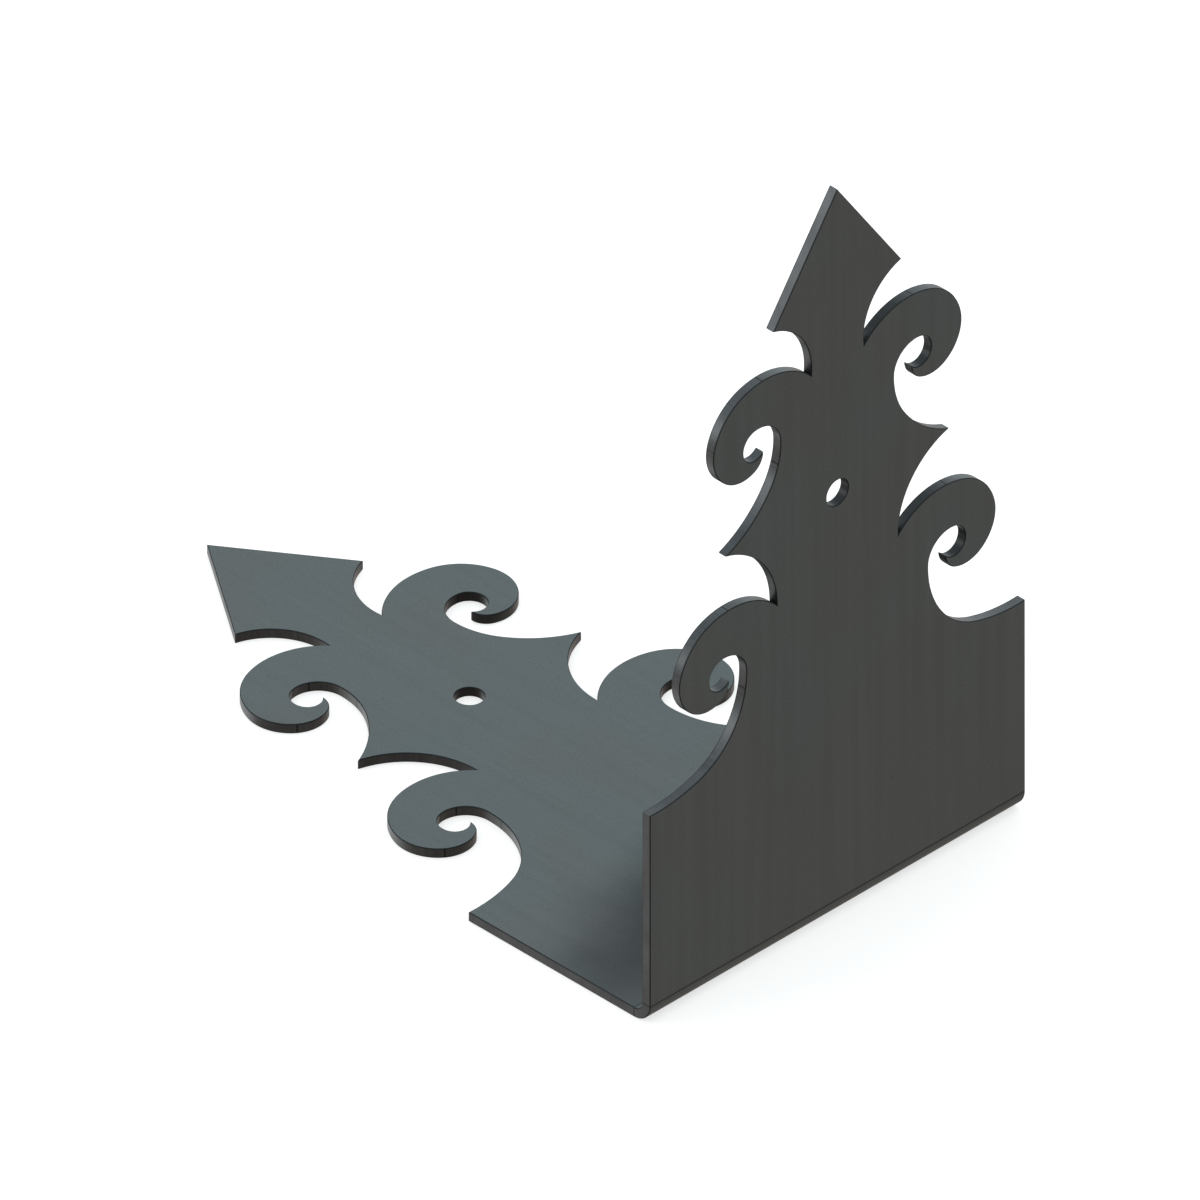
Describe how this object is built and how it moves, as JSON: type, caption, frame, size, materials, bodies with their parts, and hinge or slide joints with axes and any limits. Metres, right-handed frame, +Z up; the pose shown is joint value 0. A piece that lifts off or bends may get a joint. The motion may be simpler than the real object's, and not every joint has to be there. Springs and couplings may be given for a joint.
{
  "type": "iron angle brace",
  "caption": "Right-angle steel plate brace with spear points, cusps and scrolls cut along both legs and a bolt hole through each leg.",
  "frame": {"origin": "on the floor under the middle of the brace: centre of the box's bottom face", "axes": "+X along the fold, +Y from the fold out along the flat leg, +Z up the upright leg"},
  "size_m": [0.22, 0.37, 0.37],
  "materials": {
    "steel": "hot rolled plate under dark mill scale, oiled, with oxide-dark cut edges"
  },
  "bodies": {
    "root": {"folded_scroll_plate": "steel"}
  },
  "joints": []
}
